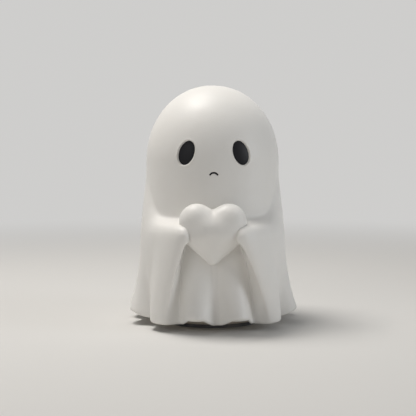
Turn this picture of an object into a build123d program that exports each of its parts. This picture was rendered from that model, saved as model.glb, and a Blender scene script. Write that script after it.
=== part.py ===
# A ceramic ghost: a hollow sheet with folds, two sleeves and a heart luted on, inlaid eyes and
# mouth, and a base that holds the hem above the table.
# Millimetres, +Z up, the face looks along -Y. The origin is the middle of the foot pad's underside.

import os
from math import asin, cos, exp, log, pi, radians, sin, sqrt

from build123d import *

os.makedirs("parts", exist_ok=True)

# The sheet: a dome, a plain stretch below it, then a skirt with folds
figure_height = 120.0  # table to crown
crown_rise = 38.7  # widest line of the head to the crown
dome_radius = 33.7
fold_top_height = 50.0  # the folds start here and grow downwards
hem_height = 3.6  # table to hem
hem_radius = 38.0  # without the folds
flare_power = 1.5  # above 1, the sheet flares more towards the hem
fold_depth = 4.8  # crest of a fold outside the hem radius
fold_stand = 0.5  # bottom between two folds outside the hem radius
fold_tip_radius = 2.0  # a fold ends in this, sunk in the sheet
fold_count = 12
hem_arch = 2.2  # the hem rises by this under each crest
wall = 3.6  # cast thickness
joint = 0.2  # slip between two luted pieces
trim_overrun = 1.0  # what trims the luted pieces reaches this far below the hem

# The sleeves, each in place of the second fold from the front
sleeve_fold = 1
hand_half_gap = 11.0  # middle of the figure to the inner side of a hand
hand_reach = 51.0  # upright axis to the front of a hand
ridge_height = 51.6  # the forearm's ridge above the table, at the hand
ridge_drop = 5.6  # from the hand to the elbow
elbow_angle = 60.0  # degrees from the hand to the elbow
sleeve_fade = 32.0  # degrees over which the reach falls to about a third
top_slope = 2.2  # the forearm's top rises by this from the hand to the chest
shoulder_rise = 22.0  # the crease over the forearm climbs this far along the upper arm
upper_arm_angle = 62.0  # degrees from the front
upper_arm_turn = 6.0  # degrees over which the crease turns upwards
sleeve_hem_reach = 44.0  # upright axis to the front of the drape at the hem
sleeve_side_angle = 100.0  # degrees from the front to the sleeve's rim at the side
sleeve_edge = 0.9  # least thickness, at the rim
sleeve_blank_depth = 6.0  # the untrimmed sleeve reaches this far into the body

# The heart
heart_width = 32.4
heart_height = 29.8
heart_thickness = 14.6
heart_middle_height = 48.2
heart_seat = 3.2  # the chest trims this much off the back of the heart

# The face
eye_height = 86.7
eye_azimuth = 23.7  # degrees from the front
eye_length = 12.3
eye_width = 8.4
eye_tilt = 20.0  # the tops lean inwards
mouth_height = 77.0
mouth_width = 4.6
mouth_rise = 1.3
mouth_stroke = 0.9
inlay_recess = 0.5  # sheet's surface down to the inlay
inlay_thickness = 1.2
inlay_clearance = 0.1

# The base
pad_thickness = 2.0
pad_radius = 25.0
foot_radius = 27.0
foot_edge = 1.0  # chamfer around the foot
slab_above_hem = 3.0
slab_thickness = 4.0
vent_radius = 2.5
vent_offset = 14.0

# What follows from these
shoulder_height = figure_height - crown_rise
fold_pitch = 2 * pi / fold_count
sleeve_folds = (sleeve_fold, fold_count - 1 - sleeve_fold)
slab_bottom = hem_height + slab_above_hem
slab_top = slab_bottom + slab_thickness
inlay_bed = inlay_recess + inlay_thickness + inlay_clearance
crease_height = ridge_height + top_slope
hand_angle = asin(hand_half_gap / hand_reach)
hem_slope = flare_power * (hem_radius - dome_radius) / (shoulder_height - hem_height)

# Each fold is an upright cone; two neighbours meet in a line that stands clear of the turned form
crest_radius = hem_radius + fold_depth
valley_radius = hem_radius + fold_stand
fold_centre = (crest_radius**2 - valley_radius**2) / 2
fold_centre /= crest_radius - valley_radius * cos(fold_pitch / 2)
fold_radius = crest_radius - fold_centre


def sheet_radius(height):
    """Radius of the sheet without its folds."""
    if height > shoulder_height:
        return dome_radius * sqrt(1 - ((height - shoulder_height) / crown_rise) ** 2)
    fall = (shoulder_height - height) / (shoulder_height - hem_height)
    return dome_radius + (hem_radius - dome_radius) * fall**flare_power


def plan_point(angle, radius):
    """A point in plan, the angle counted from the front towards the figure's left."""
    return (radius * sin(angle), -radius * cos(angle))


def turned_solid(inset, bottom):
    """The sheet's filled form without its folds, drawn in by an inset and level at the bottom."""
    profile = [(0, figure_height - inset)]
    for part in (1 / 3, 2 / 3, 1):
        turn = part * pi / 2
        height = shoulder_height + (crown_rise - inset) * cos(turn)
        profile.append(((dome_radius - inset) * sin(turn), height))
    for part in (1 / 3, 2 / 3, 1):
        height = shoulder_height + part * (bottom - shoulder_height)
        profile.append((sheet_radius(height) - inset, height))
    with BuildPart() as turned:
        with BuildSketch(Plane.YZ):
            with BuildLine():
                Spline(*profile, tangents=((1, 0), (hem_slope, -1)))
                Polyline(profile[-1], (0, bottom), profile[0])
            make_face()
        revolve(axis=Axis.Z)
    return turned.part


def sheet_solid(grow, bottom):
    """The whole sheet's filled form with its folds, larger on every side by a given amount."""
    fall = (fold_top_height - bottom) / (fold_top_height - hem_height)
    with BuildPart() as sheet:
        add(turned_solid(-grow, bottom))
        for fold in range(fold_count):
            if fold not in sleeve_folds:
                with Locations((*plan_point((fold + 0.5) * fold_pitch, fold_centre), bottom)):
                    Cone(
                        fold_tip_radius + fall * (fold_radius - fold_tip_radius) + grow,
                        fold_tip_radius + grow,
                        fold_top_height - bottom,
                        align=(Align.CENTER, Align.CENTER, Align.MIN),
                    )
    return sheet.part


def heart_solid(grow):
    """The whole heart, larger by a given amount on every side."""
    half_width = heart_width / 2 + grow
    height = heart_height + 2 * grow
    half_thickness = heart_thickness / 2 + grow
    middle_depth = sheet_radius(heart_middle_height) + heart_thickness / 2 - heart_seat
    with BuildPart() as heart_blank:
        for part in (-1, -0.6, 0, 0.6, 1):
            size = 0.45 + 0.55 * sqrt(1 - part**2)
            depth = middle_depth + part * half_thickness
            with BuildSketch(Plane((0, -depth, heart_middle_height), (1, 0, 0), (0, -1, 0))):
                with BuildLine():
                    lobe = Spline(
                        (0, 0.36 * size * height),
                        (0.52 * size * half_width, 0.49 * size * height),
                        (0.9 * size * half_width, 0.24 * size * height),
                        (0.75 * size * half_width, -0.16 * size * height),
                        tangents=((0.5, 0.85), (-0.7, -0.7)),
                    )
                    flank = Line(lobe @ 1, (0.16 * size * half_width, -0.465 * size * height))
                    tip = Line(flank @ 1, (0, -0.5 * size * height))
                    mirror([lobe, flank, tip], about=Plane.YZ)
                make_face()
        loft()
    return heart_blank.part


def eye_prism(side, grow):
    """An oval through the sheet at one eye, larger all round by a given amount."""
    angle = side * radians(eye_azimuth)
    x, y = plan_point(angle, sheet_radius(eye_height))
    with BuildPart() as prism:
        outward = (sin(angle), -cos(angle), 0)
        with BuildSketch(Plane((x, y, eye_height), (cos(angle), sin(angle), 0), outward)):
            Ellipse(eye_width / 2 + grow, eye_length / 2 + grow, rotation=side * eye_tilt)
        extrude(amount=2 * wall, both=True)
    return prism.part


def mouth_prism(grow):
    """An arch through the sheet at the mouth, larger all round by a given amount."""
    half_width = (mouth_width - mouth_stroke) / 2
    with BuildPart() as prism:
        with BuildSketch(Plane((0, -sheet_radius(mouth_height), mouth_height), (1, 0, 0), (0, -1, 0))):
            SlotArc(
                Edge.make_three_point_arc((-half_width, -mouth_rise), (0, 0), (half_width, -mouth_rise)),
                mouth_stroke + 2 * grow,
            )
        extrude(amount=2 * wall, both=True)
    return prism.part


def inlay_beds():
    """What is cut out of the sheet for the eyes and the mouth."""
    with BuildPart() as beds:
        add(eye_prism(1, inlay_clearance))
        add(eye_prism(-1, inlay_clearance))
        add(mouth_prism(inlay_clearance))
        add(turned_solid(inlay_bed, fold_top_height), mode=Mode.SUBTRACT)
    return beds.part


def sleeve_front(height):
    """Angle of a sleeve's inner side: from the hem in to the hand, then out along the upper arm."""
    if height <= ridge_height:
        fall = (ridge_height - height) / (ridge_height - hem_height)
        return hand_angle + fall * (sleeve_fold * fold_pitch - hand_angle)
    climb = (height - crease_height) / shoulder_rise
    if climb <= 0:
        return hand_angle
    return max(hand_angle, radians(upper_arm_angle - upper_arm_turn * log(1 / climb - 1)))


def sleeve_reach(angle, height):
    """How far a sleeve stands out from the sheet."""
    beyond = angle - sleeve_front(min(height, ridge_height))
    ridge = ridge_height - ridge_drop * min(beyond / radians(elbow_angle), 1)
    top = (hand_reach - sheet_radius(ridge_height)) * exp(-beyond / radians(sleeve_fade))
    if height >= ridge:
        turn = (radians(upper_arm_angle) - angle) / radians(upper_arm_turn)
        crease = crease_height + shoulder_rise / (1 + exp(turn))
        return top * min(max(crease - height, 0) / (crease - ridge), 1)
    fall = (ridge - height) / (ridge - hem_height)
    across = min(beyond / fold_pitch, 1)
    hem = (sleeve_hem_reach - hem_radius) * (1 - across**3) ** 0.8
    return top + (hem - top) * fall


def sleeve_solid():
    """The left sleeve: level outlines from the hem over the ridge to the shoulder, trimmed to fit."""
    elbow_height = ridge_height - ridge_drop
    side_angle = radians(sleeve_side_angle)
    levels = [hem_height + part * (elbow_height - hem_height) for part in (0, 0.25, 0.5, 0.75, 1)]
    levels += [elbow_height + part * ridge_drop for part in (0.4, 0.75, 1)]
    levels += [ridge_height + part * top_slope for part in (0.5, 1)]
    levels += [crease_height + part * shoulder_rise for part in (0.12, 0.3, 0.55, 0.85)]
    with BuildPart() as sleeve:
        for height in levels:
            body = sheet_radius(height)
            front = sleeve_front(height)
            fall = max((ridge_height - height) / (ridge_height - hem_height), 0)
            hem_back = (sleeve_fold + 1) * fold_pitch
            back = hem_back + (1 - fall) ** 2 * (side_angle - hem_back)
            outline = []
            for part in (0, 0.012, 0.028, 0.045, 0.1, 0.22, 0.42, 0.7, 1):
                angle = front + part * (back - front)
                swell = sqrt(1 - (1 - min(part / 0.045, 1)) ** 2)
                stand = sleeve_edge + swell * max(sleeve_reach(angle, height) - sleeve_edge, 0)
                outline.append(plan_point(angle, body + stand))
            with BuildSketch(Plane.XY.offset(height)):
                with BuildLine():
                    Spline(*outline)
                    Polyline(
                        outline[-1],
                        plan_point(back, body - sleeve_blank_depth),
                        plan_point(front, body - sleeve_blank_depth),
                        outline[0],
                    )
                make_face()
        loft(ruled=True)
        add(sheet_solid(joint, hem_height - trim_overrun), mode=Mode.SUBTRACT)
        add(heart_solid(joint), mode=Mode.SUBTRACT)
    return sleeve.part


with BuildPart() as sheet_body:
    add(sheet_solid(0, hem_height))
    add(turned_solid(wall, hem_height), mode=Mode.SUBTRACT)
    # The hem rises in an arch under every crest
    arch_half_width = 0.8 * hem_radius * sin(fold_pitch / 2)
    arch_radius = (arch_half_width**2 + hem_arch**2) / (2 * hem_arch)
    for fold in range(fold_count):
        if fold not in sleeve_folds:
            outward = plan_point((fold + 0.5) * fold_pitch, 1)
            with BuildSketch(Plane((0, 0, hem_height + hem_arch - arch_radius), z_dir=(*outward, 0))):
                Circle(arch_radius)
            extrude(amount=2 * hem_radius, mode=Mode.SUBTRACT)
    add(inlay_beds(), mode=Mode.SUBTRACT)

sheet_body.part.label = "sheet_body"
export_step(sheet_body.part, "parts/sheet_body.step")

with BuildPart() as left_eye:
    add(eye_prism(1, 0))
    add(turned_solid(inlay_recess, fold_top_height), mode=Mode.INTERSECT)
    add(turned_solid(inlay_recess + inlay_thickness, fold_top_height), mode=Mode.SUBTRACT)

left_eye.part.label = "left_eye"
export_step(left_eye.part, "parts/left_eye.step")

with BuildPart() as right_eye:
    add(eye_prism(-1, 0))
    add(turned_solid(inlay_recess, fold_top_height), mode=Mode.INTERSECT)
    add(turned_solid(inlay_recess + inlay_thickness, fold_top_height), mode=Mode.SUBTRACT)

right_eye.part.label = "right_eye"
export_step(right_eye.part, "parts/right_eye.step")

with BuildPart() as mouth:
    add(mouth_prism(0))
    add(turned_solid(inlay_recess, fold_top_height), mode=Mode.INTERSECT)
    add(turned_solid(inlay_recess + inlay_thickness, fold_top_height), mode=Mode.SUBTRACT)

mouth.part.label = "mouth"
export_step(mouth.part, "parts/mouth.step")

with BuildPart() as heart:
    add(heart_solid(0))
    add(sheet_solid(joint, hem_height - trim_overrun), mode=Mode.SUBTRACT)

heart.part.label = "heart"
export_step(heart.part, "parts/heart.step")

with BuildPart() as left_sleeve:
    add(sleeve_solid())

left_sleeve.part.label = "left_sleeve"
export_step(left_sleeve.part, "parts/left_sleeve.step")

with BuildPart() as right_sleeve:
    mirror(left_sleeve.part, about=Plane.YZ)

right_sleeve.part.label = "right_sleeve"
export_step(right_sleeve.part, "parts/right_sleeve.step")

with BuildPart() as base_disc:
    add(turned_solid(wall + joint, slab_bottom))
    split(bisect_by=Plane.XY.offset(slab_top), keep=Keep.BOTTOM)
    with BuildSketch(Plane.XY.offset(slab_bottom)):
        Circle(foot_radius)
    extrude(amount=pad_thickness - slab_bottom)
    chamfer(base_disc.edges().group_by(Axis.Z)[0], foot_edge)
    with Locations((0, vent_offset, slab_top)):
        Hole(vent_radius)

base_disc.part.label = "base_disc"
export_step(base_disc.part, "parts/base_disc.step")

with BuildPart() as foot_pad:
    with BuildSketch():
        Circle(pad_radius)
    extrude(amount=pad_thickness)

foot_pad.part.label = "foot_pad"
export_step(foot_pad.part, "parts/foot_pad.step")
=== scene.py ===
import math

import bmesh
import bpy
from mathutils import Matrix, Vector, noise


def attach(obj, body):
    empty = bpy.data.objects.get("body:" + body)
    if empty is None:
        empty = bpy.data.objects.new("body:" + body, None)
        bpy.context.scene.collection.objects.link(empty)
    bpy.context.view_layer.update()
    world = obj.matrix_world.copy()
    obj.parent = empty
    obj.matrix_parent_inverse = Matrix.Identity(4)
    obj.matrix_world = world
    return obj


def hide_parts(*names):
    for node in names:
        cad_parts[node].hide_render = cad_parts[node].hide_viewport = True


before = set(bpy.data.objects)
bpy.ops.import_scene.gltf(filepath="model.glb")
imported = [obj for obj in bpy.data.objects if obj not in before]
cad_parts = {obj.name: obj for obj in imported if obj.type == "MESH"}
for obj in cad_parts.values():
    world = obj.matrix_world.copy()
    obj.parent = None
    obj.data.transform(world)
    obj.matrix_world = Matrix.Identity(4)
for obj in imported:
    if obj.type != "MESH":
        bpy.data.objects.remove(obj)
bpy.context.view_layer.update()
scene = bpy.context.scene
millimetre = 0.001  # in metres; the pieces are modelled in millimetres
mergeGap = 0.0005  # points nearer than this become one
print("frame loaded:", len(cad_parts), "nodes")


# small helpers

def clamp(x, low=0, high=1):
    return min(max(x, low), high)


def lerp(first, second, share):  # the first at share 0, the second at share 1
    return first + (second - first) * share


def smoothStep(x):
    x = clamp(x)
    return x * x * (3 - 2 * x)


def rounded(line, x, width):  # a bent line with its corners rounded over the width
    steps = 4
    total = line(x) * (steps + 1)
    for step in range(1, steps + 1):
        offset = width * step / steps
        total = total + (line(x + offset) + line(x - offset)) * (steps + 1 - step)
    return total / (steps + 1) ** 2


def joined(a, b, soft):  # the larger of two heights, with a soft valley between them
    return (a ** 3 + b ** 3 + soft ** 3) ** (1 / 3) - soft


def planAngle(co):  # degrees from the front, positive towards +X
    return math.degrees(math.atan2(co.x, -co.y))


def planPoint(angle, radius, z):
    turn = math.radians(angle)
    return Vector((radius * math.sin(turn), -radius * math.cos(turn), z))


def faceOutwards(bm):
    bmesh.ops.recalc_face_normals(bm, faces=bm.faces)
    if bm.calc_volume(signed=True) < 0:  # thin pieces can come out inside out
        bmesh.ops.reverse_faces(bm, faces=bm.faces)
    bm.normal_update()


def addPiece(name, bm, material, nodes):
    bmesh.ops.scale(bm, vec=(millimetre, millimetre, millimetre), verts=bm.verts)
    for polygon in bm.faces:
        polygon.smooth = True
    mesh = bpy.data.meshes.new(name)
    bm.to_mesh(mesh)
    bm.free()
    mesh.materials.append(material)
    piece = bpy.data.objects.new(name, mesh)
    scene.collection.objects.link(piece)
    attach(piece, "root")
    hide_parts(*nodes)
    print(name, "has", len(mesh.polygons), "faces")


# materials

def pickSocket(sockets, key):  # by number, or by name among those in use
    if isinstance(key, int):
        return sockets[key]
    return next(s for s in sockets if s.name == key and s.enabled)


class Shade:  # a socket, with arithmetic that adds Math nodes
    def __init__(self, tree, socket=None):
        self.tree = tree
        self.socket = socket

    def node(self, kind, settings=None, inputs=None, output=0):
        made = self.tree.nodes.new(kind)
        for key, value in (settings or {}).items():
            setattr(made, key, value)
        for key, value in (inputs or {}).items():
            socket = pickSocket(made.inputs, key)
            if isinstance(value, Shade):
                self.tree.links.new(value.socket, socket)
            else:
                socket.default_value = value
        return Shade(self.tree, pickSocket(made.outputs, output))

    def operate(self, operation, first, second):
        return self.node("ShaderNodeMath", {"operation": operation}, {0: first, 1: second})

    def __add__(self, other):
        return self.operate("ADD", self, other)

    def __radd__(self, other):
        return self.operate("ADD", other, self)

    def __sub__(self, other):
        return self.operate("SUBTRACT", self, other)

    def __rsub__(self, other):
        return self.operate("SUBTRACT", other, self)

    def __mul__(self, other):
        return self.operate("MULTIPLY", self, other)

    def __rmul__(self, other):
        return self.operate("MULTIPLY", other, self)

    def between(self, low, high):  # 0 below low, 1 above high
        return self.node("ShaderNodeMapRange", {"interpolation_type": "SMOOTHSTEP"},
                         {"Value": self, "From Min": low, "From Max": high}, "Result")

    def blend(self, first, second):  # two colours, mixed by this value
        return self.node("ShaderNodeMix", {"data_type": "RGBA"},
                         {"Factor": self, "A": first, "B": second}, "Result")


def startMaterial(name):
    material = bpy.data.materials.new(name)
    material.use_nodes = True
    shader = material.node_tree.nodes["Principled BSDF"]
    coords = Shade(material.node_tree).node("ShaderNodeTexCoord", output="Object")
    return material, shader, coords


def noiseAt(coords, size, detail):  # noise with features of a size in millimetres
    inputs = {"Vector": coords, "Scale": 1 / (size * millimetre), "Detail": detail}
    return coords.node("ShaderNodeTexNoise", None, inputs, "Fac")


def finishMaterial(shader, colour, roughness, height, bumpDepth):
    bumpInputs = {"Strength": 1.0, "Distance": bumpDepth * millimetre, "Height": height}
    bump = colour.node("ShaderNodeBump", None, bumpInputs)
    for key, value in {"Base Color": colour, "Roughness": roughness, "Normal": bump}.items():
        colour.tree.links.new(value.socket, shader.inputs[key])


noiseMiddle = 0.5  # noise less this swings about zero

whiteGlaze = {
    "full": (0.855, 0.842, 0.815, 1),  # where the matt glaze lies full
    "thin": (0.79, 0.75, 0.69, 1),  # where it breaks over an edge
    "cloud": (34, 3),  # size in millimetres and detail, as for every noise below
    "mottle": (5, 3),
    "grain": (0.55, 2),
    "edgeBend": (0.1, 0.7),  # an edge counts from the first bend, and fully from the second
    "thinning": {"edge": 0.4, "cloud": 0.35, "mottle": 0.22, "everywhere": 0.12},
    "roughness": 0.46,
    "roughnessSpread": {"cloud": 0.1, "mottle": 0.16},
    "bump": {"grain": 0.6, "mottle": 1.4},
    "bumpDepth": 0.05,  # millimetres
}


def makeWhiteGlaze():
    material, shader, coords = startMaterial("matt white glaze")
    bend = coords.node("ShaderNodeAttribute", {"attribute_name": "bend"}, None, "Fac")
    cloud, mottle, grain = [noiseAt(coords, *whiteGlaze[key]) for key in ("cloud", "mottle", "grain")]
    cloudSwing, mottleSwing = cloud - noiseMiddle, mottle - noiseMiddle
    thinning, spread, bump = [whiteGlaze[key] for key in ("thinning", "roughnessSpread", "bump")]
    thin = bend.between(*whiteGlaze["edgeBend"]) * thinning["edge"] + thinning["everywhere"]
    thin = thin + cloudSwing * thinning["cloud"] + mottleSwing * thinning["mottle"]
    colour = thin.blend(whiteGlaze["full"], whiteGlaze["thin"])
    roughness = mottleSwing * spread["mottle"] + cloudSwing * spread["cloud"]
    roughness = whiteGlaze["roughness"] + roughness
    height = grain * bump["grain"] + mottle * bump["mottle"]
    finishMaterial(shader, colour, roughness, height, whiteGlaze["bumpDepth"])
    return material


blackGlaze = {
    "deep": (0.006, 0.0062, 0.0085, 1),
    "grey": (0.013, 0.013, 0.016, 1),
    "mottle": (2.2, 3),
    "grain": (0.3, 2),
    "greyShare": 0.5,
    "roughness": 0.42,
    "roughnessSpread": 0.08,
    "specular": 0.2,  # half matt, so the pale room doesn't grey it
    "bumpDepth": 0.012,
}


def makeBlackGlaze():
    material, shader, coords = startMaterial("black glaze")
    mottle, grain = [noiseAt(coords, *blackGlaze[key]) for key in ("mottle", "grain")]
    colour = (mottle * blackGlaze["greyShare"]).blend(blackGlaze["deep"], blackGlaze["grey"])
    roughness = blackGlaze["roughness"] + (mottle - noiseMiddle) * blackGlaze["roughnessSpread"]
    shader.inputs["Specular IOR Level"].default_value = blackGlaze["specular"]
    finishMaterial(shader, colour, roughness, grain, blackGlaze["bumpDepth"])
    return material


rawClay = {
    "body": (0.7, 0.64, 0.55, 1),
    "grog": (0.5, 0.42, 0.33, 1),  # crushed fired clay, which shows as specks
    "cloud": (12, 3),
    "grain": (0.5, 3),
    "specks": (1.1, 1),
    "speckEdge": (0.64, 0.72),
    "grogShare": {"specks": 0.6, "cloud": 0.5, "everywhere": 0.15},
    "roughness": 0.82,
    "roughnessSpread": 0.12,
    "speckPits": 0.4,
    "bumpDepth": 0.12,
}


def makeRawClay():
    material, shader, coords = startMaterial("raw clay")
    cloud, grain, specks = [noiseAt(coords, *rawClay[key]) for key in ("cloud", "grain", "specks")]
    specks = specks.between(*rawClay["speckEdge"])
    cloudSwing, share = cloud - noiseMiddle, rawClay["grogShare"]
    grog = specks * share["specks"] + cloudSwing * share["cloud"] + share["everywhere"]
    colour = grog.blend(rawClay["body"], rawClay["grog"])
    roughness = rawClay["roughness"] + cloudSwing * rawClay["roughnessSpread"]
    height = grain - specks * rawClay["speckPits"]
    finishMaterial(shader, colour, roughness, height, rawClay["bumpDepth"])
    return material


padRubber = {
    "dark": (0.13, 0.13, 0.138, 1),
    "dusty": (0.22, 0.215, 0.21, 1),
    "cloud": (9, 3),
    "grain": (0.4, 2),
    "dustEdge": (0.4, 0.75),
    "roughness": 0.7,
    "roughnessSpread": 0.15,
    "bumpDepth": 0.05,
}


def makePadRubber():
    material, shader, coords = startMaterial("pad rubber")
    cloud, grain = [noiseAt(coords, *padRubber[key]) for key in ("cloud", "grain")]
    colour = cloud.between(*padRubber["dustEdge"]).blend(padRubber["dark"], padRubber["dusty"])
    roughness = padRubber["roughness"] + (cloud - noiseMiddle) * padRubber["roughnessSpread"]
    finishMaterial(shader, colour, roughness, grain, padRubber["bumpDepth"])
    return material


whiteMaterial = makeWhiteGlaze()
blackMaterial = makeBlackGlaze()
clayMaterial = makeRawClay()
rubberMaterial = makePadRubber()
print("materials made")


# the sheet: one shell with folds, sleeves, eye sockets and a mouth groove
# A place is a number that grows from the crown down the outside, around the hem and up the inside.

crownAt, shoulderAt, creaseAt, ridgeAt, hemAt = 0, 2, 4, 5, 8  # crease and ridge of the forearm
hemInsideAt, lipTopAt, shoulderInsideAt, crownInsideAt = 9, 10, 11, 12

sheet = {
    "height": 120.0,
    "crownRise": 38.7,  # widest line of the head to the crown
    "domeRadius": 33.7,
    "domePower": 2.06,  # above 2, the dome is fuller than an ellipse
    "hemHeight": 3.6,
    "hemRadius": 38.0,  # without the folds
    "flare": 1.5,
    "wall": 3.6,
    "lip": 3.0,  # thickness of the hem
    "lipTop": 6.8,
    "twist": 3.5,  # degrees that the skirt turns by at the hem
    "twistPower": 1.2,
    "unevenness": 0.1,
    "unevenSize": 15.0,
    "columns": 432,
    "frontColumns": 32,  # half of those between the sleeves
    "sideColumns": 22,  # those on a sleeve's inner side
    "sleeveLead": 1.8,  # places below the shoulder over which the columns turn to the sleeve's edge
    "backSpread": 1.25,  # above 1, the columns are closest behind the sleeve's edge
    "rings": (  # from a place to a place
        (crownAt, shoulderAt, 56), (shoulderAt, creaseAt, 24), (creaseAt, ridgeAt, 26),
        (ridgeAt, hemAt, 52), (hemAt, hemInsideAt, 10), (hemInsideAt, lipTopAt, 5),
        (lipTopAt, crownInsideAt, 20),
    ),
}

shoulderHeight = sheet["height"] - sheet["crownRise"]

folds = {
    "valleys": ((0, 29, 61, 91, 121, 150, 180), (0, 29, 61, 92, 119, 151, 180)),  # +X side, -X side
    "weights": ((1.25, 0, 1.0, 1.04, 0.92, 1.0), (1.2, 0, 0.97, 1.0, 1.05, 0.93)),
    "depth": 6.4,
    "top": 50.0,
    "growth": 1.15,
    "softness": 0.18,  # of the valleys
    "valleyRound": 0.45,  # where a fold meets the sleeve
    "hemLift": 3.0,  # the hem rises under each crest
    "liftReach": 14.0,
}

sleeve = {
    "ridgeHeight": 52.3,  # at the hand
    "ridgeDrop": 6.0,  # from the hand to the elbow
    "elbowAngle": 60.0,
    "reach": 16.2,  # of the hand in front of the chest
    "tipTurn": 6.0,  # degrees over which the hand's front turns
    "fade": 33.0,  # degrees over which the reach falls to about a third
    "endAngle": 90.0,  # the reach ends from here
    "endWidth": 50.0,  # over these degrees
    "hemReach": 6.6,
    "hemEnd": 61.0,
    "hemPowers": (3, 1.3),  # how the reach at the hem falls off towards its end
    "endGroove": 2.8,  # the crease behind the sleeve
    "endGrooveWidth": 6.5,
    "creaseAngles": (12.0, 16.0),  # foot and corner of the inner side over the forearm
    "handAngles": (19.0, 13.4),  # the hand overhangs
    "hemAngles": (29.0, 36.0),
    "creaseHeight": 54.2,  # over the forearm
    "shoulderRise": 22.5,  # the crease turns up this far along the upper arm
    "upperArmAngle": 62.0,
    "upperArmTurn": 6.0,
    "bulge": 0.6,
    "creaseRound": 0.27,
    "ridgeRound": 0.56,
    "edgeRound": 0.5,
    "tipDrop": 6.0,  # the ridge rounds off by this at the hand
    "tipColumns": 22,
    "tipRound": 3,  # columns
    "tipPowers": (2, 4),  # how the drop fades above and below the ridge
}


def sheetRadius(z):  # without folds and sleeves
    if z > shoulderHeight:
        power = sheet["domePower"]
        up = min((z - shoulderHeight) / sheet["crownRise"], 1)
        return sheet["domeRadius"] * (1 - up ** power) ** (1 / power)
    fall = (shoulderHeight - z) / (shoulderHeight - sheet["hemHeight"])
    return lerp(sheet["domeRadius"], sheet["hemRadius"], fall ** sheet["flare"])


def downForearm(place):  # 0 at the crease over the forearm, 1 at its ridge
    return (place - creaseAt) / (ridgeAt - creaseAt)


def downDrape(place):  # 0 at the ridge, 1 at the hem
    return (place - ridgeAt) / (hemAt - ridgeAt)


def innerEdge(place):  # foot and corner of a sleeve's inner side, in degrees from the front
    up = 1 - clamp(downDrape(place))
    over = clamp(downForearm(place))
    shares = (up ** 2, up)
    angles = zip(sleeve["creaseAngles"], sleeve["handAngles"], sleeve["hemAngles"], shares)
    return [lerp(crease, lerp(hem, hand, share), over) for crease, hand, hem, share in angles]


def columnAngle(column, place):  # the columns follow the sleeve's inner edge on the lower part
    half = sheet["columns"] / 2
    front, side = sheet["frontColumns"], sheet["sideColumns"]
    foot, corner = innerEdge(place)
    if column <= front:
        led = foot * column / front
    elif column <= front + side:
        led = lerp(foot, corner, (column - front) / side)
    else:
        back = (column - front - side) / (half - front - side)
        led = lerp(corner, 180, back ** sheet["backSpread"])
    even = 180 * column / half
    return lerp(even, led, smoothStep((place - shoulderAt) / sheet["sleeveLead"]))


def innerSide(column):  # 0 in front of a sleeve, 1 on it
    return clamp((column - sheet["frontColumns"]) / sheet["sideColumns"])


def handTip(column):  # 0 on the forearm, 1 at the end of the hand, along an arc
    corner = sheet["frontColumns"] + sheet["sideColumns"]
    share = clamp((corner - column) / sleeve["tipColumns"] + 1)
    return 1 - math.sqrt(1 - share ** 2)


def nearRidge(place):  # 1 at the ridge, 0 at the crease and at the hem
    above, below = sleeve["tipPowers"]
    return clamp(downForearm(place)) ** above * (1 - clamp(downDrape(place))) ** below


def sleeveLine(place, angle):  # reach of the sleeve and height, down one column
    upperArm = (sleeve["upperArmAngle"] - angle) / sleeve["upperArmTurn"]
    crease = sleeve["creaseHeight"] + sleeve["shoulderRise"] / (1 + math.exp(upperArm))
    if place < creaseAt:
        part = (place - shoulderAt) / (creaseAt - shoulderAt)
        return Vector((0, lerp(shoulderHeight, crease, part)))
    beyond = max(angle - innerEdge(place)[1], 0)
    ridge = sleeve["ridgeHeight"] - sleeve["ridgeDrop"] * min(beyond / sleeve["elbowAngle"], 1)
    fading = math.hypot(beyond, sleeve["tipTurn"]) - sleeve["tipTurn"]
    reach = sleeve["reach"] * math.exp(-fading / sleeve["fade"])
    reach *= 1 - smoothStep((angle - sleeve["endAngle"]) / sleeve["endWidth"])
    if place < ridgeAt:
        part = downForearm(place)
        swollen = reach * part * (1 + sleeve["bulge"] * (1 - part))
        return Vector((swollen, lerp(crease, ridge, part)))
    part = downDrape(place)
    across = min(beyond / (sleeve["hemEnd"] - sleeve["hemAngles"][1]), 1)
    inner, outer = sleeve["hemPowers"]
    hemReach = sleeve["hemReach"] * (1 - across ** inner) ** outer
    hemStart = sheet["hemHeight"] + sheet["lip"] / 2
    return Vector((lerp(reach, hemReach, part), lerp(ridge, hemStart, part)))


def foldShape(angle, sideIndex):  # 0 in a valley, about 1 on a crest
    valleys = folds["valleys"][sideIndex]
    lobe = max(i for i in range(len(valleys) - 1) if angle >= valleys[i])
    across = (angle - valleys[lobe]) / (valleys[lobe + 1] - valleys[lobe])
    soft = folds["softness"]
    swell = (math.hypot(math.sin(math.pi * across), soft) - soft) / (math.hypot(1, soft) - soft)
    return swell * folds["weights"][sideIndex][lobe]


def outsidePoint(signed, place):  # angle, radius and height on the outside; -X columns are negative
    column, sideIndex = abs(signed), int(signed < 0)
    angle = columnAngle(column, place)
    width = lerp(sleeve["creaseRound"], sleeve["ridgeRound"], smoothStep(downForearm(place)))
    reach, z = rounded(lambda p: sleeveLine(p, angle), place, width)
    reach *= rounded(innerSide, column, sleeve["edgeRound"] * sheet["sideColumns"])
    z -= sleeve["tipDrop"] * rounded(handTip, column, sleeve["tipRound"]) * nearRidge(place)
    fall = max((folds["top"] - z) / (folds["top"] - sheet["hemHeight"]), 0)
    swell = foldShape(angle, sideIndex)
    fold = folds["depth"] * swell * fall ** folds["growth"]
    radius = sheetRadius(z) + joined(max(reach, 0), fold, folds["valleyRound"])
    behind = (angle - sleeve["hemEnd"]) / sleeve["endGrooveWidth"]
    radius -= sleeve["endGroove"] * fall ** 2 * math.exp(-behind ** 2)
    lift = folds["hemLift"] * min(swell, 1) ** 2
    z += lift * (1 - smoothStep((z - sheet["hemHeight"]) / folds["liftReach"]))
    turn = sheet["twist"] * max(downDrape(place), 0) ** sheet["twistPower"]
    return math.copysign(angle, signed) + turn, radius, z


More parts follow.
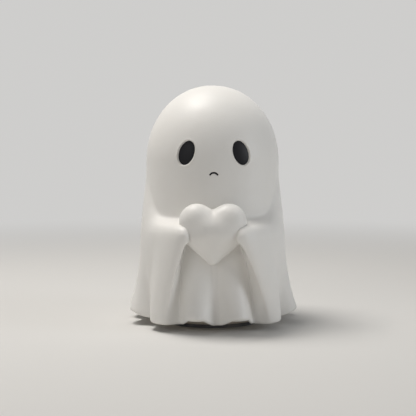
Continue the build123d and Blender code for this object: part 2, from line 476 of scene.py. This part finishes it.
def hemPoint(signed, place):  # around the hem's edge, then in to the wall
    angle, radius, z = outsidePoint(signed, hemAt)
    half = sheet["lip"] / 2
    turn = math.pi * min(place - hemAt, 1)
    up = max(place - hemInsideAt, 0)
    radius += half * (math.cos(turn) - 1)
    z -= half * math.sin(turn)
    top = sheet["lipTop"]
    wallRadius = sheetRadius(top) - sheet["wall"]
    return planPoint(angle, lerp(radius, wallRadius, smoothStep(up)), lerp(z, top, up))


def sheetPoint(signed, place):
    even = 360 * signed / sheet["columns"]
    if place <= shoulderAt:
        turn = math.pi / 2 * place / shoulderAt
        z = shoulderHeight + sheet["crownRise"] * math.cos(turn)
        return planPoint(even, sheetRadius(z), z)
    if place <= hemAt:
        return planPoint(*outsidePoint(signed, place))
    if place <= lipTopAt:
        return hemPoint(signed, place)
    if place <= shoulderInsideAt:  # here the columns turn back to even angles
        up = place - lipTopAt
        z = lerp(sheet["lipTop"], shoulderHeight, up)
        angle = outsidePoint(signed, hemAt)[0]
        return planPoint(lerp(angle, even, up), sheetRadius(z) - sheet["wall"], z)
    turn = math.pi / 2 * (crownInsideAt - place)
    return planPoint(even, (sheet["domeRadius"] - sheet["wall"]) * math.sin(turn),
                     shoulderHeight + (sheet["crownRise"] - sheet["wall"]) * math.cos(turn))


# the face, in millimetres on the sheet's surface

face = {
    "turn": 0.8,  # degrees that it looks towards +X
    "heights": (68, 100),  # it lies between these
    "halfAngle": 50,
    "skin": 2,  # what lies deeper is the sheet's inside
}

eye = {
    "height": 86.7,
    "azimuth": 23.7,
    "length": 12.3,
    "width": 8.4,
    "tilt": 20.0,  # the tops lean inwards
    "socketDepth": 1.15,
    "socketRound": 0.42,
    "lipRise": 0.09,
    "lipGap": 0.2,
    "lipWidth": 0.45,
    "fineReach": 1.3,  # finer faces this near to the rim
    "fineCuts": 3,
    "recess": 0.5,
    "inlayMargin": 0.25,  # the inlay reaches this far under the rim
    "inlayHalf": 0.75,  # half of its thickness
    "inlayPower": 0.4,  # below 1, it is flatter than a lens
    "segments": (72, 28),
}

mouth = {
    "height": 77.2,  # top of the arch
    "arcRadius": 2.25,
    "halfTurn": 53.0,  # degrees of the arch to each side of its top
    "stroke": 0.9,
    "grooveDepth": 0.8,
    "grooveRound": 0.25,
    "fineReach": 0.9,
    "fineCuts": 5,
    "recess": 0.42,
    "inlayMargin": 0.08,
    "inlayHalf": 0.35,
    "rodShare": 0.55,  # of the ball that becomes the rod; the rest becomes its round ends
    "segments": (32, 48),
}

bendSmoothing = {"rounds": 6, "share": 0.6}


def onFace(co, azimuth, height):  # across and up from a point of the face
    across = sheetRadius(height) * math.radians(planAngle(co) - face["turn"] - azimuth)
    return across, co.z - height


def facePoint(azimuth, height, across, up, depth):  # and back again, below the surface
    angle = face["turn"] + azimuth + math.degrees(across / sheetRadius(height))
    return planPoint(angle, sheetRadius(height + up) - depth, height + up)


def eyeDistance(co, side):  # from the rim of an eye, negative inside
    across, up = onFace(co, side * eye["azimuth"], eye["height"])
    lean = math.radians(side * eye["tilt"])
    x = across * math.cos(lean) + up * math.sin(lean)
    y = up * math.cos(lean) - across * math.sin(lean)
    a, b = eye["width"] / 2, eye["length"] / 2
    share = math.hypot(x / a, y / b)
    if share < 0.05:  # the middle, where the slope below is nearly 0
        return -a
    return (share - 1) * share / math.hypot(x / a ** 2, y / b ** 2)


def mouthDistance(co):  # from the rim of the mouth, negative inside
    x, y = onFace(co, 0, mouth["height"])
    y += mouth["arcRadius"]
    reach = math.radians(mouth["halfTurn"])
    turn = clamp(math.atan2(x, y), -reach, reach)
    nearX, nearY = mouth["arcRadius"] * math.sin(turn), mouth["arcRadius"] * math.cos(turn)
    return math.hypot(x - nearX, y - nearY) - mouth["stroke"] / 2


def rimStep(gap, width):  # 0 outside a rim, 1 inside, over the width to both sides
    return smoothStep(0.5 - gap / (2 * width))


def socketDepth(co):  # how far the face is pushed in
    gap = mouthDistance(co)
    depth = mouth["grooveDepth"] * rimStep(gap, mouth["grooveRound"])
    for side in (1, -1):
        gap = eyeDistance(co, side)
        lip = (gap - eye["socketRound"] - eye["lipGap"]) / eye["lipWidth"]
        depth += eye["socketDepth"] * rimStep(gap, eye["socketRound"])
        depth -= eye["lipRise"] * math.exp(-lip ** 2)
    return depth


def isFace(co):
    low, high = face["heights"]
    if not low < co.z < high or abs(planAngle(co)) >= face["halfAngle"]:
        return False
    return math.hypot(co.x, co.y) > sheetRadius(co.z) - face["skin"]


def refineFace(bm, distance, feature):  # finer faces beside a rim
    middles = [(f, f.calc_center_median()) for f in bm.faces]
    reach = feature["fineReach"]
    near = [f for f, middle in middles if isFace(middle) and abs(distance(middle)) < reach]
    edges = list(dict.fromkeys(e for f in near for e in f.edges))
    bmesh.ops.subdivide_edges(bm, edges=edges, cuts=feature["fineCuts"], use_grid_fill=True)


def measureBend(bm):  # how sharply the surface turns: positive on edges, negative in creases
    layer = bm.verts.layers.float.new("bend")
    bm.normal_update()
    for v in bm.verts:
        ways = [(e.other_vert(v).co - v.co, e.calc_length()) for e in v.link_edges]
        turns = [way.dot(v.normal) / length ** 2 for way, length in ways]
        v[layer] = clamp(-2 * sum(turns) / len(turns), -1, 1)
    for _ in range(bendSmoothing["rounds"]):
        means = []
        for v in bm.verts:
            means.append(sum(e.other_vert(v)[layer] for e in v.link_edges) / len(v.link_edges))
        for v, mean in zip(bm.verts, means):
            v[layer] += bendSmoothing["share"] * (mean - v[layer])


def makeSheet():
    bm = bmesh.new()
    places = [crownAt]
    for start, end, rings in sheet["rings"]:
        places += [lerp(start, end, ring / rings) for ring in range(1, rings + 1)]
    total = len(places) - 1
    bmesh.ops.create_cone(bm, cap_ends=False, segments=sheet["columns"],
                          radius1=1, radius2=1, depth=total)
    uprights = [e for e in bm.edges if e.verts[0].co.z * e.verts[1].co.z < 0]
    bmesh.ops.subdivide_edges(bm, edges=uprights, cuts=total - 1, use_grid_fill=True)
    for v in bm.verts:  # the tube's own heights and angles number its rings and columns
        column = round(planAngle(v.co) * sheet["columns"] / 360)
        v.co = sheetPoint(column, places[round(total / 2 - v.co.z)])
    bmesh.ops.remove_doubles(bm, verts=bm.verts, dist=mergeGap)
    for side in (1, -1):
        refineFace(bm, lambda co: eyeDistance(co, side), eye)
    refineFace(bm, mouthDistance, mouth)
    for v in bm.verts:
        if isFace(v.co):
            v.co = planPoint(planAngle(v.co), sheetRadius(v.co.z) - socketDepth(v.co), v.co.z)
    faceOutwards(bm)
    for v in bm.verts:
        v.co += v.normal * sheet["unevenness"] * noise.noise(v.co / sheet["unevenSize"])
    measureBend(bm)
    addPiece("ghostSheet", bm, whiteMaterial,
             ("sheet_body", "left_sleeve", "right_sleeve"))


makeSheet()


# the inlays: black glaze on thin tiles that follow the head

def makeEye(name, side, node):
    bm = bmesh.new()
    around, along = eye["segments"]
    bmesh.ops.create_uvsphere(bm, u_segments=around, v_segments=along, radius=1)
    lean = math.radians(side * eye["tilt"])
    halfWidth = eye["width"] / 2 + eye["inlayMargin"]
    halfLength = eye["length"] / 2 + eye["inlayMargin"]
    for v in bm.verts:
        x, y = v.co.x * halfWidth, v.co.y * halfLength
        across = x * math.cos(lean) - y * math.sin(lean)
        up = y * math.cos(lean) + x * math.sin(lean)
        rise = math.copysign(abs(v.co.z) ** eye["inlayPower"], v.co.z)
        depth = eye["recess"] + eye["inlayHalf"] * (1 - rise)
        v.co = facePoint(side * eye["azimuth"], eye["height"], across, up, depth)
    faceOutwards(bm)
    addPiece(name, bm, blackMaterial, (node,))


def makeMouth():
    bm = bmesh.new()
    around, along = mouth["segments"]
    bmesh.ops.create_uvsphere(bm, u_segments=around, v_segments=along, radius=1)
    reach = math.radians(mouth["halfTurn"])
    half = mouth["stroke"] / 2 + mouth["inlayMargin"]
    rod = mouth["rodShare"]
    for v in bm.verts:
        end = math.copysign(max(abs(v.co.z) - rod, 0) / (1 - rod), v.co.z)  # 0 on the rod, 1 at its tip
        rim = math.sqrt(max(1 - end ** 2, 0)) / max(math.hypot(v.co.x, v.co.y), 1e-6)
        turn = reach * clamp(v.co.z / rod, -1, 1)
        radius = mouth["arcRadius"] + v.co.x * rim * half
        across = radius * math.sin(turn) + end * half * math.cos(turn)
        up = radius * math.cos(turn) - end * half * math.sin(turn) - mouth["arcRadius"]
        depth = mouth["recess"] + mouth["inlayHalf"] * (1 - v.co.y * rim)
        v.co = facePoint(0, mouth["height"], across, up, depth)
    bmesh.ops.remove_doubles(bm, verts=bm.verts, dist=mergeGap)
    faceOutwards(bm)
    addPiece("mouthArch", bm, blackMaterial, ("mouth",))


makeEye("leftEyeInlay", 1, "left_eye")
makeEye("rightEyeInlay", -1, "right_eye")
makeMouth()


# the heart: tapered rods from the lobes to the tip, with a filled front

heart = {
    "middle": (0, -39.0, 48.2),
    "rods": (  # across, up and radius at both ends of the lobe, the flank and the filled front
        ((7.6, 6.0, 8.6), (6.2, 2.0, 9.4)),
        ((6.2, 2.0, 9.4), (0, -11.8, 3.2)),
        ((0, 1.6, 8.4), (0, -11.8, 3.2)),
    ),
    "thickness": 15.0,
    "fillThickness": 16.4,
    "blend": (1.7, 4.5),  # between the lobes, and with the filled front
    "tipFade": 10.0,  # the blends grow over this height above the tip
    "tipBlend": 0.02,  # what is left of them at the tip
    "cuts": 55,
    "startRadius": 20.0,  # each point moves in from here to the surface
    "moves": 14,
    "moveShare": 0.85,
    "smooths": 6,
}


def rodDistance(x, z, depth, rod):  # from a rod with round ends
    (topX, topZ, topRadius), (endX, endZ, endRadius) = rod
    lineX, lineZ = endX - topX, endZ - topZ
    length = math.hypot(lineX, lineZ)
    along = ((x - topX) * lineX + (z - topZ) * lineZ) / length
    away = math.hypot(((x - topX) * lineZ - (z - topZ) * lineX) / length, depth)
    lean = math.tan(math.asin((topRadius - endRadius) / length))  # of the rod's side
    share = clamp((along - away * lean) / length)
    return math.hypot(along - share * length, away) - lerp(topRadius, endRadius, share)


def softMin(a, b, width):
    near = max(width - abs(a - b), 0) / width
    return min(a, b) - near * near * width / 4


def heartDistance(co):  # from the heart's surface
    lobe, flank, fill = heart["rods"]
    depth = co.y * 2 * flank[0][2] / heart["thickness"]
    fillDepth = co.y * 2 * fill[0][2] / heart["fillThickness"]
    left, right = [min(rodDistance(x, co.z, depth, rod) for rod in (lobe, flank))
                   for x in (co.x, -co.x)]
    front = rodDistance(co.x, co.z, fillDepth, fill)
    aboveTip = co.z - fill[1][1]
    grown = max(smoothStep(aboveTip / heart["tipFade"]), heart["tipBlend"])
    lobeBlend, frontBlend = heart["blend"]
    return softMin(softMin(left, right, lobeBlend * grown), front, frontBlend * grown)


def makeHeart():
    bm = bmesh.new()
    bmesh.ops.create_cube(bm, size=2)
    bmesh.ops.subdivide_edges(bm, edges=bm.edges, cuts=heart["cuts"], use_grid_fill=True)
    for v in bm.verts:
        ray = Vector([math.tan(c * math.pi / 4) for c in v.co]).normalized()  # evens out the faces
        v.co = ray * heart["startRadius"]
        for _ in range(heart["moves"]):
            v.co -= ray * heartDistance(v.co) * heart["moveShare"]
    for _ in range(heart["smooths"]):
        bmesh.ops.smooth_vert(bm, verts=bm.verts, factor=0.5,
                              use_axis_x=True, use_axis_y=True, use_axis_z=True)
    bmesh.ops.translate(bm, vec=heart["middle"], verts=bm.verts)
    faceOutwards(bm)
    measureBend(bm)
    addPiece("puffyHeart", bm, whiteMaterial, ("heart",))


makeHeart()


# the base keeps its CAD shape and gets its finishes

for nodeName, material in (("base_disc", clayMaterial), ("foot_pad", rubberMaterial)):
    mesh = bpy.data.objects[nodeName].data
    mesh.materials.clear()
    mesh.materials.append(material)
print("base finished")


# the stage: a pale floor without an end, soft lamps, and the camera

stage = {
    "floorRadius": 9.0,
    "floorSegments": 96,
    "floorColour": (0.70, 0.69, 0.67, 1),
    "floorRoughness": 0.9,
    "farColour": (0.62, 0.615, 0.605, 1),  # the floor fades into this
    "fade": (0.2, 0.6),  # metres from the figure
    "world": 0.17,
    "aim": (0, 0, 0.06),  # of the lamps
    "lamps": (  # name, place, size, watts, colour
        ("top", (-0.2, 0.06, 0.7), 0.3, 4.0, (1, 0.97, 0.93)),
        ("front", (-0.5, -0.6, 0.3), 0.4, 0.5, (1, 0.985, 0.96)),
        ("side", (0.7, -0.22, 0.24), 0.3, 1.3, (0.92, 0.96, 1)),
    ),
}

camera = {
    "place": (-0.0023, -0.547, 0.1014),
    "pitch": 4.58,  # degrees down
    "lens": 92.6,
    "sensor": 36,
}


def seenRays(shade):  # 1 for what the camera sees, straight or mirrored
    kinds = ("Is Camera Ray", "Is Glossy Ray", "Is Transmission Ray")
    straight, mirrored, through = [shade.node("ShaderNodeLightPath", output=kind) for kind in kinds]
    return straight + mirrored + through


def makeFloor():
    material, shader, coords = startMaterial("pale floor")
    tree = coords.tree
    shader.inputs["Base Color"].default_value = stage["floorColour"]
    shader.inputs["Roughness"].default_value = stage["floorRoughness"]
    away = coords.node("ShaderNodeVectorMath", {"operation": "LENGTH"}, {0: coords}, "Value")
    far = away.between(*stage["fade"]) * seenRays(coords)
    glow = coords.node("ShaderNodeEmission", None, {"Color": stage["farColour"], "Strength": 1.0})
    near = Shade(tree, shader.outputs[0])
    mixed = coords.node("ShaderNodeMixShader", None, {0: far, 1: near, 2: glow})
    tree.links.new(mixed.socket, tree.nodes["Material Output"].inputs["Surface"])

    bm = bmesh.new()
    bmesh.ops.create_circle(bm, cap_ends=True, segments=stage["floorSegments"],
                            radius=stage["floorRadius"])
    mesh = bpy.data.meshes.new("floor")
    bm.to_mesh(mesh)
    bm.free()
    mesh.materials.append(material)
    floor = bpy.data.objects.new("floor", mesh)
    scene.collection.objects.link(floor)


def makeWorld():
    world = bpy.data.worlds.new("studio")
    world.use_nodes = True
    tree = world.node_tree
    shade = Shade(tree)
    light, backdrop = [
        shade.node("ShaderNodeBackground", None, {"Color": colour, "Strength": strength})
        for colour, strength in (((1, 1, 1, 1), stage["world"]), (stage["farColour"], 1.0))]
    mixed = shade.node("ShaderNodeMixShader", None, {0: seenRays(shade), 1: light, 2: backdrop})
    tree.links.new(mixed.socket, tree.nodes["World Output"].inputs["Surface"])
    scene.world = world


def makeLamps():
    for name, place, size, watts, colour in stage["lamps"]:
        lamp = bpy.data.lights.new(name, "AREA")
        lamp.size = size
        lamp.energy = watts
        lamp.color = colour
        holder = bpy.data.objects.new(name, lamp)
        holder.location = place
        beam = Vector(stage["aim"]) - Vector(place)
        holder.rotation_euler = beam.to_track_quat("-Z", "Y").to_euler()
        scene.collection.objects.link(holder)


def makeCamera():
    data = bpy.data.cameras.new("camera")
    data.sensor_width = camera["sensor"]
    data.lens = camera["lens"]
    holder = bpy.data.objects.new("camera", data)
    holder.location = camera["place"]
    holder.rotation_euler = (math.radians(90 - camera["pitch"]), 0, 0)
    scene.collection.objects.link(holder)
    scene.camera = holder


makeFloor()
makeWorld()
makeLamps()
makeCamera()
scene.view_settings.view_transform = "Standard"
print("stage, lamps and camera set")
